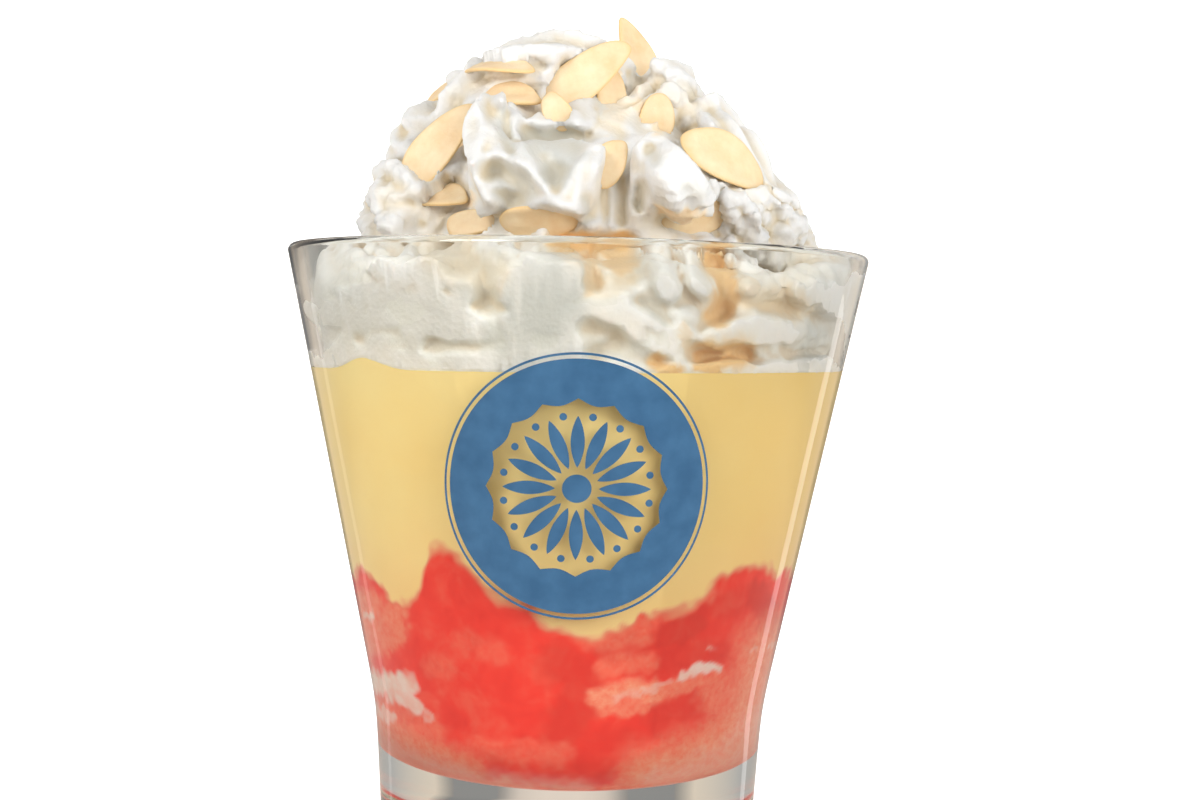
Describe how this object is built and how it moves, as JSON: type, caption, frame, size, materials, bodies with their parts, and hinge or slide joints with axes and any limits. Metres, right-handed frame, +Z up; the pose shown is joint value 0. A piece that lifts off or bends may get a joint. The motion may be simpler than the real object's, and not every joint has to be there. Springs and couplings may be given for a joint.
{
  "type": "sherry trifle",
  "caption": "Flared clear glass tumbler filled with red jelly and sponge, a deep band of custard and a heap of whipped cream dotted with flaked almonds.",
  "frame": {"origin": "centre of the underside of the glass, on the surface it stands on", "axes": "+Z up along the glass's axis; the side that faces the camera looks along -Y, and +X is to its right"},
  "size_m": [0.0946, 0.0946, 0.1366],
  "materials": {
    "clear_glass": "polished",
    "red_jelly": "gloss",
    "custard": "satin",
    "whipped_cream": "satin",
    "almond": "matte"
  },
  "bodies": {
    "root": {"almond_flake_01": "almond", "almond_flake_02": "almond", "almond_flake_03": "almond", "almond_flake_04": "almond", "almond_flake_05": "almond", "almond_flake_06": "almond", "almond_flake_07": "almond", "almond_flake_08": "almond", "almond_flake_09": "almond", "almond_flake_10": "almond", "almond_flake_11": "almond", "almond_flake_12": "almond", "almond_flake_13": "almond", "almond_flake_14": "almond", "almond_flake_15": "almond", "almond_flake_16": "almond", "almond_flake_17": "almond", "almond_flake_18": "almond", "almond_flake_19": "almond", "almond_flake_20": "almond", "almond_flake_21": "almond", "almond_flake_22": "almond", "custard": "custard", "glass_tumbler": "clear_glass", "jelly_sponge": "red_jelly", "whipped_cream": "whipped_cream"}
  },
  "joints": []
}
